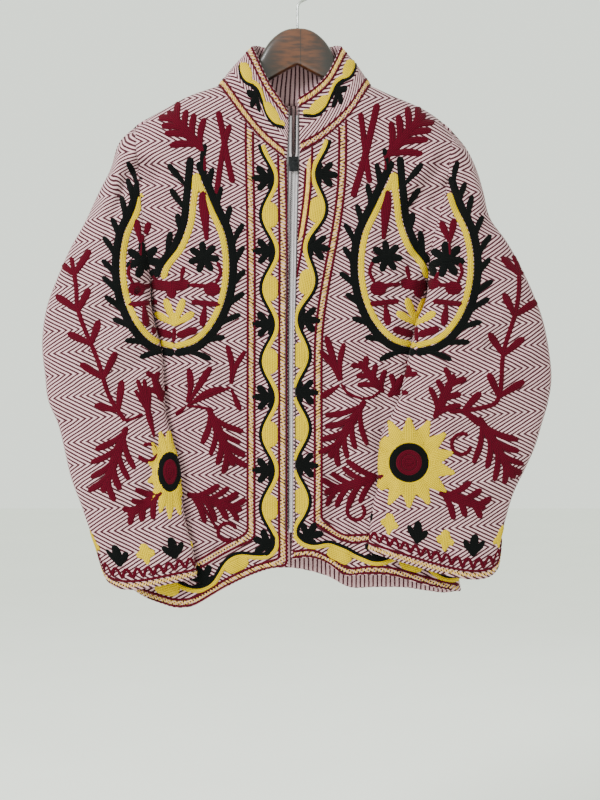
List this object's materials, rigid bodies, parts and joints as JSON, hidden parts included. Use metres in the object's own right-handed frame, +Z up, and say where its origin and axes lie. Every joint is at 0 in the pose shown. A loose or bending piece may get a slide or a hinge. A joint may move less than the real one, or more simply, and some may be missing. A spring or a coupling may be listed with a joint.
{
  "type": "embroidered jacket on hanger",
  "caption": "Short wide jacket with stand collar, long sleeves and front zip, in herringbone cloth with chain-stitch flowers, on a wooden hanger.",
  "frame": {"origin": "inside the crown of the hanger's hook, where a rail holds it", "axes": "+X is the viewer's right seen from the front, +Y away from the viewer towards the back of the jacket, +Z up"},
  "size_m": [0.6663, 0.0943, 0.8428],
  "materials": {
    "cloth": "herringbone weave with wool chain stitch",
    "tape": "woven tape",
    "zip_metal": "black enamel",
    "wood": "dark gloss varnish",
    "hook_wire": "darkened wire"
  },
  "bodies": {
    "jacket": {"back": "cloth", "front_left": "cloth", "front_right": "cloth", "sleeve_left": "cloth", "sleeve_right": "cloth", "collar": "cloth", "zip_tape_left": "tape", "zip_tape_right": "tape", "zip_slider": "zip_metal", "hanger_wood": "wood", "hanger_hook": "hook_wire"},
    "zip_pull": {"zip_pull_tab": "zip_metal"}
  },
  "joints": [
    {"name": "zip_pull_hinge", "type": "hinge", "parent": "jacket", "child": "zip_pull", "pos_m": [-0.00531, -0.039, -0.2565], "axis": [-1, 0, 0], "range_deg": [0, 150]}
  ]
}
